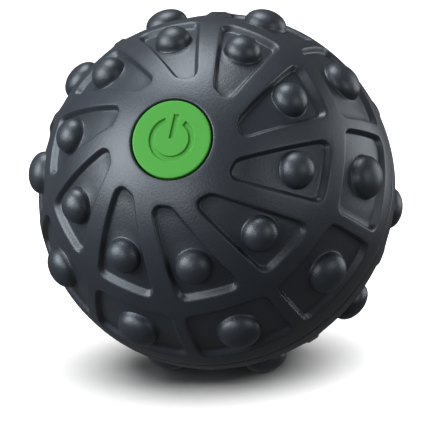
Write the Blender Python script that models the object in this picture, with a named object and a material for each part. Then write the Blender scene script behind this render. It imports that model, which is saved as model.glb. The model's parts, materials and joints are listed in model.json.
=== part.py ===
"""Vibrating massage ball: two knobbed half shells on a quick thread, a battery pack, a motor
with an eccentric weight, and a push button at the upper pole.

Every piece is modelled in the ball's own frame: origin at the ball's centre, +Z along the
button's axis, +X towards the lowest side of the resting ball.  The ball then stands on three
knobs of its lower half, with its button tilted forwards, and the floor is at z = 0.
"""

import math

import bmesh
import bpy
from mathutils import Matrix, Vector

# ---- Driving dimensions (metres, degrees where the name says so) ----
MM = 0.001
GAP = 0.3 * MM

KNOB_TIP_RADIUS = 49.0 * MM
SKIN_RADIUS = 46.45 * MM
SKIN_SWELL = 0.4 * MM
POCKET_DEPTH = 1.5 * MM
COVER_INNER_RADIUS = 43.3 * MM
PARTING_GAP = 0.15 * MM
PARTING_BEVEL_RADIUS = 46.2 * MM

SECTORS = 10
SECTOR_DEG = 360.0 / SECTORS
OUTER_KNOB_PHASE_DEG = 18.0
RING_OFFSET_DEG = 7.77
INNER_KNOB_PHASE_DEG = OUTER_KNOB_PHASE_DEG - RING_OFFSET_DEG

RIM_DEG = 13.35
CELL_TOP_DEG = 16.0
CELL_MIDDLE_DEG = 56.75
CELL_BOTTOM_DEG = 85.0
BAND_DEG = 88.9
LEFT_CORNERS_DEG = (-33.75, -13.0, -10.2)

# One pocket of each ring: azimuths are counted from the knob of the inner ring.
INNER_POCKET = {
    "top": 20.8, "bottom": 54.4, "azimuths": (-28.0, -6.0, 18.2, -9.7), "corner_radius": 2.7 * MM,
    "knob_deg": 41.6, "knob_azimuth": 0.0, "knob_radius": 4.86 * MM,
}
OUTER_POCKET = {
    "top": 59.5, "bottom": 82.7, "azimuths": (-9.6, 23.0, 24.2, -8.3), "corner_radius": 2.7 * MM,
    "knob_deg": 71.4, "knob_azimuth": RING_OFFSET_DEG, "knob_radius": 5.84 * MM,
}
ARC_STEPS = 4
WALL_WIDTH = 1.1 * MM
SLOPED_WALL_EXTRA = 1.2 * MM
STEPS_ACROSS = 3
STEPS_DOWN = 4
KNOB_RINGS_DEG = (0.0, 32.0, 62.0)
KNOB_SPACING_BLEND = 0.5

# The resting pose: three knobs on the floor put the button's axis this far above level.
AXIS_ELEVATION_DEG = 30.04

BUTTON_RADIUS = 10.07 * MM
BUTTON_TOP = 45.72 * MM
HOLE_RADIUS = 10.45 * MM
FLANGE_RADIUS = 11.5 * MM
FLANGE_TOP = 40.9 * MM
FLANGE_BOTTOM = 40.1 * MM
STEM_RADIUS = 2.5 * MM
STEM_BOTTOM = 38.9 * MM

CORE_OUTER_RADIUS = 42.2 * MM
CORE_INNER_RADIUS = 40.2 * MM
CORE_HOLE_RADIUS = 12.3 * MM
SPIGOT_OUTER = 40.1 * MM
SPIGOT_INNER = 38.6 * MM
SPIGOT_DEPTH = 7.5 * MM
SOCKET_DEPTH = 8.2 * MM
SOCKET_RADIUS = 40.8 * MM
LIP_RADIUS = 41.25 * MM
LIP_DEPTH = 3.0 * MM
SEAL_RADII = (40.4 * MM, 40.95 * MM)
SEAL_SPAN = (-2.6 * MM, -1.2 * MM)

PLATE_RADIUS = 37.8 * MM
PLATE_SPAN = (0.8 * MM, 2.5 * MM)
SCREW_CIRCLE = 35.2 * MM
SCREW_AZIMUTHS_DEG = (90.0, 225.0, 315.0)
BOSS_RADIUS = 4.0 * MM
BOSS_TOP = 16.0 * MM
SCREW_SHANK = 1.2 * MM
SCREW_HEAD = 2.4 * MM
SCREW_TIP = 12.0 * MM

TRAY_HALF = (25.5 * MM, 17.7 * MM)
TRAY_WALL = 1.2 * MM
TRAY_SPAN = (-12.6 * MM, 0.5 * MM)
TRAY_ROOF = 1.0 * MM
CELL_RADIUS = 5.25 * MM
CELL_LENGTH = 44.5 * MM
CELL_NUB = (1.9 * MM, 1.0 * MM)
CELL_PITCH = 11.0 * MM
CELL_HEIGHT = -6.2 * MM
CELL_START = -21.3 * MM
CONTACT_SPAN = (23.5 * MM, 24.0 * MM)

MOTOR_HEIGHT = 19.5 * MM
MOTOR_RADIUS = 10.0 * MM
MOTOR_WALL = 0.8 * MM
MOTOR_SPAN = (-16.0 * MM, 8.0 * MM)
END_CAP_SPAN = (-19.0 * MM, -16.3 * MM)
SHAFT_RADIUS = 1.0 * MM
SHAFT_SPAN = (-14.0 * MM, 19.5 * MM)
ROTOR_RADIUS = 7.6 * MM
ROTOR_SPAN = (-13.0 * MM, 4.5 * MM)
WEIGHT_RADII = (1.3 * MM, 3.2 * MM, 8.5 * MM)
WEIGHT_SPAN = (10.5 * MM, 18.5 * MM)
CRADLE_HALF_WIDTH = 12.0 * MM
CRADLE_SPAN = (-13.0 * MM, 4.0 * MM)
CRADLE_TOP = 19.0 * MM
STRAP_RADII = (10.35 * MM, 11.5 * MM)
STRAP_SPAN = (-8.0 * MM, -1.0 * MM)

BOARD_RADIUS = 18.2 * MM
BOARD_SPAN = (34.0 * MM, 35.6 * MM)
SWITCH_RADIUS = 3.4 * MM
SWITCH_SPAN = (35.9 * MM, 38.2 * MM)
SWITCH_WELL = (1.95 * MM, 36.4 * MM)
PLUNGER_RADIUS = 1.6 * MM
PLUNGER_SPAN = (37.3 * MM, 38.6 * MM)
LEAD_RADIUS = 0.6 * MM
LEAD_POINTS = 10

# name: (sRGB-linear colour, roughness, metallic)
MATERIALS = {
    "cover_rubber": ((0.030, 0.033, 0.040), 0.45, 0.0),
    "core_plastic": ((0.050, 0.052, 0.058), 0.50, 0.0),
    "button_green": ((0.110, 0.490, 0.080), 0.40, 0.0),
    "seal_rubber": ((0.015, 0.015, 0.016), 0.70, 0.0),
    "tray_plastic": ((0.080, 0.082, 0.088), 0.55, 0.0),
    "cell_sleeve": ((0.300, 0.310, 0.330), 0.35, 0.2),
    "contact_metal": ((0.620, 0.600, 0.550), 0.30, 1.0),
    "motor_steel": ((0.560, 0.570, 0.580), 0.30, 1.0),
    "weight_brass": ((0.500, 0.360, 0.130), 0.35, 1.0),
    "board_laminate": ((0.020, 0.130, 0.050), 0.50, 0.0),
    "switch_plastic": ((0.020, 0.020, 0.022), 0.45, 0.0),
    "lead_red": ((0.400, 0.020, 0.020), 0.50, 0.0),
    "lead_black": ((0.012, 0.012, 0.014), 0.50, 0.0),
}


# ---- General helpers ----
def clear_scene():
    for item in list(bpy.data.objects):
        bpy.data.objects.remove(item, do_unlink=True)


def material(name):
    found = bpy.data.materials.get(name)
    if found:
        return found
    colour, roughness, metallic = MATERIALS[name]
    made = bpy.data.materials.new(name)
    made.use_nodes = True
    shader = made.node_tree.nodes["Principled BSDF"]
    shader.inputs["Base Color"].default_value = (*colour, 1.0)
    shader.inputs["Roughness"].default_value = roughness
    shader.inputs["Metallic"].default_value = metallic
    return made


def finish_mesh(bm, name):
    """Close a bmesh into a mesh with merged doubles, outward faces and smooth round sides."""
    bmesh.ops.remove_doubles(bm, verts=bm.verts, dist=0.002 * MM)
    bmesh.ops.recalc_face_normals(bm, faces=bm.faces)
    mesh = bpy.data.meshes.new(name)
    bm.to_mesh(mesh)
    bm.free()
    mesh.shade_smooth()
    mesh.set_sharp_from_angle(angle=math.radians(35.0))
    return mesh


def add_piece(name, mesh, finish, pivot):
    """Link a piece under its pivot; its mesh is in the ball's frame, its origin on the pivot."""
    mesh.transform(Matrix.Translation(-pivot["offset"]))
    mesh.materials.append(material(finish))
    piece = bpy.data.objects.new(name, mesh)
    bpy.context.collection.objects.link(piece)
    piece.parent = pivot["empty"]
    return piece


def turned(profile, segments, closed):
    """Spin a profile of (radius, height) points about Z."""
    bm = bmesh.new()
    verts = [bm.verts.new((radius, 0.0, height)) for radius, height in profile]
    edges = [bm.edges.new(pair) for pair in zip(verts, verts[1:])]
    if closed:
        edges.append(bm.edges.new((verts[-1], verts[0])))
    bmesh.ops.spin(bm, geom=verts + edges, cent=(0, 0, 0), axis=(0, 0, 1),
                   angle=2 * math.pi, steps=segments, use_merge=True)
    bmesh.ops.remove_doubles(bm, verts=bm.verts, dist=0.002 * MM)
    return bm


def ring(inner, outer, span, segments):
    return turned([(inner, span[0]), (outer, span[0]), (outer, span[1]), (inner, span[1])],
                  segments, True)


def rod(radius, span, segments):
    return turned([(0, span[0]), (radius, span[0]), (radius, span[1]), (0, span[1])],
                  segments, False)


def along_x(bm, y, z):
    """Turn a piece modelled along Z so that it lies along X, through (y, z)."""
    bmesh.ops.rotate(bm, verts=bm.verts, cent=(0, 0, 0), matrix=Matrix.Rotation(math.pi / 2, 3, "Y"))
    bmesh.ops.translate(bm, verts=bm.verts, vec=(0, y, z))
    return bm


def along_y(bm, z):
    """Turn a piece modelled along Z so that it lies along Y, at height z."""
    bmesh.ops.rotate(bm, verts=bm.verts, cent=(0, 0, 0), matrix=Matrix.Rotation(-math.pi / 2, 3, "X"))
    bmesh.ops.translate(bm, verts=bm.verts, vec=(0, 0, z))
    return bm


def extruded(outline, span):
    """Extrude a closed outline of (x, z) points along Y."""
    bm = bmesh.new()
    face = bm.faces.new([bm.verts.new((x, span[0], z)) for x, z in outline])
    grown = bmesh.ops.extrude_face_region(bm, geom=[face])
    moved = [item for item in grown["geom"] if isinstance(item, bmesh.types.BMVert)]
    bmesh.ops.translate(bm, verts=moved, vec=(0, span[1] - span[0], 0))
    return bm


def arc(centre, radius, start_deg, end_deg, steps):
    """Points (x, z) of an arc about centre."""
    angles = [math.radians(start_deg + (end_deg - start_deg) * i / steps) for i in range(steps + 1)]
    return [(centre[0] + radius * math.cos(a), centre[1] + radius * math.sin(a)) for a in angles]


def sphere_profile(radius, start_deg, end_deg, steps):
    """Profile points on a sphere, by angle from the pole."""
    angles = [math.radians(start_deg + (end_deg - start_deg) * i / steps) for i in range(steps + 1)]
    return [(radius * math.sin(a), radius * math.cos(a)) for a in angles]


def mirrored(bm):
    """Mirror a piece in the parting plane."""
    bmesh.ops.scale(bm, verts=bm.verts, vec=(1, 1, -1))
    return bm


def combine(mesh, tool_bm, operation):
    """Join or cut a mesh with the solid of a bmesh, and return the new mesh."""
    target = bpy.data.objects.new("combine_target", mesh)
    tool = bpy.data.objects.new("combine_tool", finish_mesh(tool_bm, "combine_tool"))
    for item in (target, tool):
        bpy.context.collection.objects.link(item)
    modifier = target.modifiers.new("combine", "BOOLEAN")
    modifier.operation = operation
    modifier.object = tool
    modifier.solver = "EXACT"
    graph = bpy.context.evaluated_depsgraph_get()
    result = bpy.data.meshes.new_from_object(target.evaluated_get(graph))
    for item in (target, tool):
        bpy.data.objects.remove(item, do_unlink=True)
    return result


# ---- The knobbed cover ----
def direction(azimuth_deg, polar_deg):
    azimuth, polar = math.radians(azimuth_deg), math.radians(polar_deg)
    return Vector((math.sin(polar) * math.cos(azimuth), math.sin(polar) * math.sin(azimuth),
                   math.cos(polar)))


def polar_of(point):
    return math.degrees(math.acos(max(-1.0, min(1.0, point.normalized().z))))


def skin_radius(polar_deg):
    """The ball bulges a little at its rim and at its equator."""
    return SKIN_RADIUS + SKIN_SWELL * math.cos(2 * math.pi * (polar_deg - RIM_DEG) / (90.0 - RIM_DEG))


def on_skin(unit, depth=0.0):
    return unit.normalized() * (skin_radius(polar_of(unit)) - depth)


def cell_left_deg(polar_deg):
    """Azimuth of the line halfway between two neighbouring pockets."""
    top, middle, bottom = LEFT_CORNERS_DEG
    if polar_deg > CELL_MIDDLE_DEG:
        share = (polar_deg - CELL_MIDDLE_DEG) / (CELL_BOTTOM_DEG - CELL_MIDDLE_DEG)
        return middle + (bottom - middle) * share
    share = max(0.0, (polar_deg - INNER_POCKET["top"]) / (CELL_MIDDLE_DEG - INNER_POCKET["top"]))
    return top + (middle - top) * (0.7 * math.sqrt(share) + 0.3 * share)


def square_walk():
    """Points round a square from -1 to 1, in the order top, right, bottom, left."""
    across = [2 * i / STEPS_ACROSS - 1 for i in range(STEPS_ACROSS)]
    down = [2 * i / STEPS_DOWN - 1 for i in range(STEPS_DOWN)]
    return ([(u, -1.0) for u in across] + [(1.0, v) for v in down]
            + [(-u, 1.0) for u in across] + [(-1.0, -v) for v in down])


def cell_edge(top_deg, bottom_deg):
    """The edge of one sector's cell, as unit vectors."""
    points = []
    for u, v in square_walk():
        polar = top_deg + (v + 1) / 2 * (bottom_deg - top_deg)
        points.append(direction(cell_left_deg(polar) + (u + 1) / 2 * SECTOR_DEG, polar))
    return points


def corner_arc(before, corner, after, radius):
    """The arc that rounds a corner, from the side before it to the side after it."""
    back, ahead = (before - corner).normalized(), (after - corner).normalized()
    half = back.angle(ahead) / 2
    centre = corner + (back + ahead).normalized() * radius / math.sin(half)
    start = corner + back * radius / math.tan(half) - centre
    end = corner + ahead * radius / math.tan(half) - centre
    return [centre + start.lerp(end, i / ARC_STEPS).normalized() * radius for i in range(ARC_STEPS + 1)]


def even_points(path, count):
    """This many points spaced evenly along a path, leaving out its end."""
    lengths = [(b - a).length for a, b in zip(path, path[1:])]
    spacing, points, walked, index = sum(lengths) / count, [], 0.0, 0
    for i in range(count):
        while index < len(lengths) - 1 and walked + lengths[index] < i * spacing:
            walked += lengths[index]
            index += 1
        points.append(path[index].lerp(path[index + 1], (i * spacing - walked) / lengths[index]))
    return points


def pocket_edge(pocket):
    """The pocket's outline, with straight sides and rounded corners, as unit vectors."""
    polars = (pocket["top"], pocket["top"], pocket["bottom"], pocket["bottom"])
    corners = [direction(azimuth, polar) for azimuth, polar in zip(pocket["azimuths"], polars)]
    radius = pocket["corner_radius"] / SKIN_RADIUS
    arcs = [corner_arc(corners[i - 1], corners[i], corners[(i + 1) % 4], radius) for i in range(4)]
    points = []
    for i, count in enumerate((STEPS_ACROSS, STEPS_DOWN, STEPS_ACROSS, STEPS_DOWN)):
        path = arcs[i][ARC_STEPS // 2:] + arcs[(i + 1) % 4][:ARC_STEPS // 2 + 1]
        points += even_points(path, count)
    return [point.normalized() for point in points]


def inset(points):
    """Move an outline inwards by the wall's width, which is greatest on the side to the equator."""
    moved = []
    for i, point in enumerate(points):
        tangent = points[(i + 1) % len(points)] - points[i - 1]
        inward = tangent.cross(point).normalized()
        south = direction(math.degrees(math.atan2(point.y, point.x)), polar_of(point) + 90.0)
        slope = max(0.0, -inward.dot(south)) ** 2
        moved.append((point + inward * (WALL_WIDTH + SLOPED_WALL_EXTRA * slope) / SKIN_RADIUS).normalized())
    return moved


def knob_rings(pocket, outline):
    """Rings of the dome, matched point by point with the pocket's outline."""
    centre = direction(pocket["knob_azimuth"], pocket["knob_deg"])
    east = Vector((0, 0, 1)).cross(centre).normalized()
    north = centre.cross(east)
    angles = []
    for point in outline:
        angle = math.atan2((point - centre).dot(north), (point - centre).dot(east))
        while angles and angle > angles[-1]:
            angle -= 2 * math.pi
        angles.append(angle)
    count = len(outline)
    start = sum(angle + 2 * math.pi * i / count for i, angle in enumerate(angles)) / count
    height = KNOB_TIP_RADIUS - skin_radius(pocket["knob_deg"]) + POCKET_DEPTH
    rings = []
    for rise_deg in KNOB_RINGS_DEG:
        spread = pocket["knob_radius"] * math.cos(math.radians(rise_deg)) / SKIN_RADIUS
        lift = height * math.sin(math.radians(rise_deg))
        dome = []
        for i, angle in enumerate(angles):
            even = start - 2 * math.pi * i / count
            turn = angle + (even - angle) * KNOB_SPACING_BLEND
            unit = (centre + (east * math.cos(turn) + north * math.sin(turn)) * spread).normalized()
            dome.append(on_skin(unit, POCKET_DEPTH - lift))
        rings.append(dome)
    return rings, centre * KNOB_TIP_RADIUS


def add_cell(bm, turn, top_deg, bottom_deg, pocket):
    """One sector's cell: flat edge, pocket wall, pocket floor and domed knob."""
    outline = pocket_edge(pocket)
    floor = inset(outline)
    domes, tip = knob_rings(pocket, floor)
    rings = [[on_skin(p) for p in cell_edge(top_deg, bottom_deg)], [on_skin(p) for p in outline],
             [on_skin(p, POCKET_DEPTH) for p in floor], *domes]
    loops = [[bm.verts.new(turn @ p) for p in points] for points in rings]
    for outer, inner in zip(loops, loops[1:]):
        bridge(bm, outer, inner)
    crown = bm.verts.new(turn @ tip)
    last = loops[-1]
    for i, vert in enumerate(last):
        bm.faces.new((vert, last[(i + 1) % len(last)], crown))


def bridge(bm, outer, inner):
    for i in range(len(outer)):
        j = (i + 1) % len(outer)
        bm.faces.new((outer[i], outer[j], inner[j], inner[i]))


def cover_row(radius, height, polar_deg):
    """One row of points round the ball, in step with the cells' corners."""
    points = []
    for i in range(SECTORS * STEPS_ACROSS):
        azimuth = cell_left_deg(polar_deg) + INNER_KNOB_PHASE_DEG + i * SECTOR_DEG / STEPS_ACROSS
        unit = direction(azimuth, 90.0)
        points.append(Vector((unit.x * radius, unit.y * radius, height)))
    return points


def cover_edge_rows():
    """The plain rows that close the cover, from the equator band round the inside to the rim."""
    def outside(polar_deg):
        radius = skin_radius(polar_deg)
        angle = math.radians(polar_deg)
        return cover_row(radius * math.sin(angle), radius * math.cos(angle), polar_deg)

    rows = [outside(CELL_BOTTOM_DEG), outside(BAND_DEG),
            cover_row(PARTING_BEVEL_RADIUS, PARTING_GAP, CELL_BOTTOM_DEG),
            cover_row(COVER_INNER_RADIUS, PARTING_GAP, CELL_BOTTOM_DEG)]
    mouth_deg = math.degrees(math.asin(HOLE_RADIUS / COVER_INNER_RADIUS))
    for step in range(1, 6):
        polar = 90.0 + (mouth_deg - 90.0) * step / 5
        angle = math.radians(polar)
        rows.append(cover_row(COVER_INNER_RADIUS * math.sin(angle), COVER_INNER_RADIUS * math.cos(angle),
                              min(polar, CELL_BOTTOM_DEG)))
    rows.append(cover_row(HOLE_RADIUS, BUTTON_TOP - 0.5 * MM, RIM_DEG))
    rows.append(outside(RIM_DEG))
    rows.append(outside(CELL_TOP_DEG))
    return rows


def cover_bm():
    """The upper half's cover."""
    bm = bmesh.new()
    for sector in range(SECTORS):
        angle = math.radians(INNER_KNOB_PHASE_DEG + sector * SECTOR_DEG)
        turn = Matrix.Rotation(angle, 3, "Z")
        add_cell(bm, turn, CELL_TOP_DEG, CELL_MIDDLE_DEG, INNER_POCKET)
        add_cell(bm, turn, CELL_MIDDLE_DEG, CELL_BOTTOM_DEG, OUTER_POCKET)
    rows = [[bm.verts.new(p) for p in row] for row in cover_edge_rows()]
    for upper, lower in zip(rows, rows[1:]):
        bridge(bm, upper, lower)
    bmesh.ops.remove_doubles(bm, verts=bm.verts, dist=0.01 * MM)
    return bm


# ---- The other pieces ----
def polar_cap_profile(with_stem):
    """A hollow cap that fills the hole at a pole, held behind the cover by its flange."""
    profile = [(0, BUTTON_TOP), (BUTTON_RADIUS - 0.5 * MM, BUTTON_TOP),
               (BUTTON_RADIUS, BUTTON_TOP - 0.5 * MM), (BUTTON_RADIUS, FLANGE_TOP),
               (FLANGE_RADIUS, FLANGE_TOP), (FLANGE_RADIUS, FLANGE_BOTTOM),
               (BUTTON_RADIUS - 1.3 * MM, FLANGE_BOTTOM), (BUTTON_RADIUS - 1.3 * MM, BUTTON_TOP - 1.9 * MM)]
    if with_stem:
        profile += [(STEM_RADIUS, BUTTON_TOP - 1.9 * MM), (STEM_RADIUS, STEM_BOTTOM), (0, STEM_BOTTOM)]
    else:
        profile += [(0, BUTTON_TOP - 1.9 * MM)]
    return profile


def upper_core_mesh():
    """Rigid half shell with the threaded spigot, modelled plain, and three screw bosses."""
    pole_deg = math.degrees(math.asin(CORE_HOLE_RADIUS / CORE_OUTER_RADIUS))
    inner_pole_deg = math.degrees(math.asin(CORE_HOLE_RADIUS / CORE_INNER_RADIUS))
    inner_end_deg = math.degrees(math.asin(SPIGOT_INNER / CORE_INNER_RADIUS))
    profile = sphere_profile(CORE_OUTER_RADIUS, pole_deg, 89.5, 6)
    profile += [(SPIGOT_OUTER, profile[-1][1]), (SPIGOT_OUTER, -SPIGOT_DEPTH), (SPIGOT_INNER, -SPIGOT_DEPTH)]
    profile += sphere_profile(CORE_INNER_RADIUS, inner_end_deg, inner_pole_deg, 5)
    mesh = finish_mesh(turned(profile, 40, True), "upper_core")
    for azimuth in SCREW_AZIMUTHS_DEG:
        centre = direction(azimuth, 90.0) * SCREW_CIRCLE
        boss = rod(BOSS_RADIUS, (PLATE_SPAN[1] + GAP, BOSS_TOP), 16)
        bmesh.ops.translate(boss, verts=boss.verts, vec=centre)
        mesh = combine(mesh, boss, "UNION")
        pilot = rod(SCREW_SHANK + GAP, (0, SCREW_TIP + 2 * MM), 10)
        bmesh.ops.translate(pilot, verts=pilot.verts, vec=centre)
        mesh = combine(mesh, pilot, "DIFFERENCE")
    return mesh


def lower_core_bm():
    """Rigid half shell with the socket that the spigot turns into."""
    pole_deg = math.degrees(math.asin(CORE_HOLE_RADIUS / CORE_OUTER_RADIUS))
    inner_pole_deg = math.degrees(math.asin(CORE_HOLE_RADIUS / CORE_INNER_RADIUS))
    inner_end_deg = math.degrees(math.acos(SOCKET_DEPTH / CORE_INNER_RADIUS))
    profile = sphere_profile(CORE_OUTER_RADIUS, pole_deg, 89.5, 6)
    profile += [(LIP_RADIUS, profile[-1][1]), (LIP_RADIUS, LIP_DEPTH), (SOCKET_RADIUS, LIP_DEPTH),
                (SOCKET_RADIUS, SOCKET_DEPTH)]
    profile += sphere_profile(CORE_INNER_RADIUS, inner_end_deg, inner_pole_deg, 5)
    return mirrored(turned(profile, 40, True))


def mid_plate_mesh():
    """Round plate across the upper half, with a hole for each screw."""
    mesh = finish_mesh(rod(PLATE_RADIUS, PLATE_SPAN, 40), "mid_plate")
    for azimuth in SCREW_AZIMUTHS_DEG:
        drill = rod(SCREW_SHANK + GAP, (0, PLATE_SPAN[1] + 1 * MM), 10)
        bmesh.ops.translate(drill, verts=drill.verts, vec=direction(azimuth, 90.0) * SCREW_CIRCLE)
        mesh = combine(mesh, drill, "DIFFERENCE")
    return mesh


def screw_bm(azimuth_deg):
    """Pan-head screw, driven upwards through the plate."""
    underside = PLATE_SPAN[0] - GAP
    bm = turned([(0, underside - 1.8 * MM), (SCREW_HEAD * 0.7, underside - 1.8 * MM),
                 (SCREW_HEAD, underside - 1.1 * MM), (SCREW_HEAD, underside), (SCREW_SHANK, underside),
                 (SCREW_SHANK, SCREW_TIP - 1.0 * MM), (0, SCREW_TIP)], 12, False)
    bmesh.ops.translate(bm, verts=bm.verts, vec=direction(azimuth_deg, 90.0) * SCREW_CIRCLE)
    return bm


def battery_tray_bm():
    """Box under the plate, open downwards, that the cells clip into."""
    bm = bmesh.new()
    bmesh.ops.create_cube(bm, size=1.0)
    size = (2 * TRAY_HALF[0], 2 * TRAY_HALF[1], TRAY_SPAN[1] - TRAY_SPAN[0])
    bmesh.ops.scale(bm, verts=bm.verts, vec=size)
    bmesh.ops.translate(bm, verts=bm.verts, vec=(0, 0, (TRAY_SPAN[0] + TRAY_SPAN[1]) / 2))
    floor = min(bm.faces, key=lambda face: face.calc_center_median().z)
    bmesh.ops.inset_region(bm, faces=[floor], thickness=TRAY_WALL)
    well = bmesh.ops.extrude_face_region(bm, geom=[floor])
    moved = [item for item in well["geom"] if isinstance(item, bmesh.types.BMVert)]
    bmesh.ops.translate(bm, verts=moved, vec=(0, 0, size[2] - TRAY_ROOF))
    bmesh.ops.delete(bm, geom=[floor], context="FACES_ONLY")
    return bm


def cell_bm(row):
    """One cell, with its nub towards +X on the outer rows and towards -X on the middle row."""
    end = CELL_START + CELL_LENGTH
    bm = turned([(0, CELL_START), (CELL_RADIUS, CELL_START), (CELL_RADIUS, end - CELL_NUB[1]),
                 (CELL_NUB[0], end - CELL_NUB[1]), (CELL_NUB[0], end), (0, end)], 16, False)
    if row == 0:
        bmesh.ops.rotate(bm, verts=bm.verts, cent=(0, 0, 0), matrix=Matrix.Rotation(math.pi, 3, "X"))
    return along_x(bm, row * CELL_PITCH, CELL_HEIGHT)


def spring_contact_bm(row):
    """Conical spring at a cell's flat end, as its envelope."""
    start, end = -CONTACT_SPAN[1], CELL_START - GAP
    profile = [(0, start), (4.2 * MM, start), (4.2 * MM, start + 0.6 * MM), (2.2 * MM, end), (0, end)]
    bm = turned(profile, 12, False)
    if row == 0:
        bmesh.ops.rotate(bm, verts=bm.verts, cent=(0, 0, 0), matrix=Matrix.Rotation(math.pi, 3, "X"))
    return along_x(bm, row * CELL_PITCH, CELL_HEIGHT)


def plate_contact_bm(row):
    """Flat contact at a cell's nub."""
    side = -1 if row == 0 else 1
    bm = bmesh.new()
    bmesh.ops.create_cube(bm, size=1.0)
    bmesh.ops.scale(bm, verts=bm.verts, vec=(CONTACT_SPAN[1] - CONTACT_SPAN[0], 8 * MM, 8 * MM))
    middle = (CONTACT_SPAN[0] + CONTACT_SPAN[1]) / 2
    bmesh.ops.translate(bm, verts=bm.verts, vec=(side * middle, row * CELL_PITCH, CELL_HEIGHT))
    return bm


def motor_can_bm():
    """Steel cup, open at the end cap, with a hole for the shaft."""
    inner = MOTOR_RADIUS - MOTOR_WALL
    bore = SHAFT_RADIUS + GAP
    low, high = MOTOR_SPAN
    bm = turned([(bore, high), (3 * MM, high), (3 * MM, high - 0.9 * MM),
                 (MOTOR_RADIUS, high - 0.9 * MM), (MOTOR_RADIUS, low), (inner, low),
                 (inner, high - 1.9 * MM), (bore, high - 1.9 * MM)], 24, True)
    return along_y(bm, MOTOR_HEIGHT)


def eccentric_weight_bm():
    """Half-round weight on a hub, hanging straight down while the ball rests."""
    bore, hub, reach = WEIGHT_RADII
    hang = -math.radians(AXIS_ELEVATION_DEG)
    steps = 24
    inner, outer = [], []
    for i in range(steps):
        angle = 2 * math.pi * i / steps
        radius = reach if math.cos(angle) > -0.01 else hub
        inner.append((bore * math.cos(angle + hang), bore * math.sin(angle + hang)))
        outer.append((radius * math.cos(angle + hang), radius * math.sin(angle + hang)))
    bm = bmesh.new()
    loops = [[bm.verts.new((x, y, MOTOR_HEIGHT + z)) for x, z in points]
             for points, y in ((outer, WEIGHT_SPAN[0]), (outer, WEIGHT_SPAN[1]),
                               (inner, WEIGHT_SPAN[1]), (inner, WEIGHT_SPAN[0]))]
    for first, second in zip(loops, loops[1:] + loops[:1]):
        bridge(bm, first, second)
    return bm


def motor_cradle_bm():
    """Saddle block on the plate that holds the motor."""
    centre = (0.0, MOTOR_HEIGHT)
    floor = PLATE_SPAN[1] + GAP
    half = CRADLE_HALF_WIDTH
    dip = math.degrees(math.asin((MOTOR_HEIGHT - CRADLE_TOP) / STRAP_RADII[0]))
    outline = [(-half, floor), (half, floor), (half, CRADLE_TOP)]
    outline += arc(centre, STRAP_RADII[0], -dip, -180.0 + dip, 12) + [(-half, CRADLE_TOP)]
    return extruded(outline, CRADLE_SPAN)


def motor_strap_bm():
    """Half-round band over the motor."""
    centre = (0.0, MOTOR_HEIGHT)
    outline = arc(centre, STRAP_RADII[1], 0.0, 180.0, 12) + arc(centre, STRAP_RADII[0], 180.0, 0.0, 12)
    return extruded(outline, STRAP_SPAN)


def lead_mesh(name, start, bend_a, bend_b, end):
    """Insulated wire along a smooth curve between two places."""
    curve = bpy.data.curves.new(name, "CURVE")
    curve.dimensions = "3D"
    curve.bevel_depth = LEAD_RADIUS
    curve.bevel_resolution = 1
    curve.use_fill_caps = True
    spline = curve.splines.new("POLY")
    spline.points.add(LEAD_POINTS - 1)
    for i in range(LEAD_POINTS):
        t = i / (LEAD_POINTS - 1)
        weights = ((1 - t) ** 3, 3 * t * (1 - t) ** 2, 3 * t ** 2 * (1 - t), t ** 3)
        place = sum((Vector(p) * w * MM for p, w in zip((start, bend_a, bend_b, end), weights)), Vector())
        spline.points[i].co = (*place, 1.0)
    holder = bpy.data.objects.new(name + "_curve", curve)
    bpy.context.collection.objects.link(holder)
    graph = bpy.context.evaluated_depsgraph_get()
    mesh = bpy.data.meshes.new_from_object(holder.evaluated_get(graph))
    bpy.data.objects.remove(holder, do_unlink=True)
    bm = bmesh.new()
    bm.from_mesh(mesh)
    return finish_mesh(bm, name)


# ---- Assembly ----
def resting_frame(cover_mesh):
    """The ball's frame in the world: tilted, and standing with its lowest knobs on the floor."""
    elevation = math.radians(AXIS_ELEVATION_DEG)
    axis = Vector((0, -math.cos(elevation), math.sin(elevation)))
    low_side = Vector((0, -math.sin(elevation), -math.cos(elevation)))
    tilt = Matrix((low_side, axis.cross(low_side), axis)).transposed()
    lowest = min((tilt @ vert.co).z for vert in cover_mesh.vertices)
    return Matrix.Translation((0, 0, -lowest)) @ tilt.to_4x4()


def add_pivot(name, frame, offset):
    """An empty on a joint's axis, which the pieces that move on that joint are parented to."""
    empty = bpy.data.objects.new(name, None)
    empty.empty_display_size = 10 * MM
    empty.matrix_world = frame @ Matrix.Translation(offset)
    bpy.context.collection.objects.link(empty)
    return {"empty": empty, "offset": Vector(offset)}


def add_lower_half(frame, cover_mesh):
    pivot = add_pivot("lower_half_pivot", frame, (0, 0, 0))
    add_piece("lower_cover", cover_mesh, "cover_rubber", pivot)
    add_piece("lower_core", finish_mesh(lower_core_bm(), "lower_core"), "core_plastic", pivot)
    cap = mirrored(turned(polar_cap_profile(False), 24, False))
    add_piece("bottom_cap", finish_mesh(cap, "bottom_cap"), "core_plastic", pivot)


def add_seal(frame):
    pivot = add_pivot("seal_pivot", frame, (0, 0, 0))
    seal = ring(*SEAL_RADII, SEAL_SPAN, 40)
    add_piece("parting_seal", finish_mesh(seal, "parting_seal"), "seal_rubber", pivot)


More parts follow.
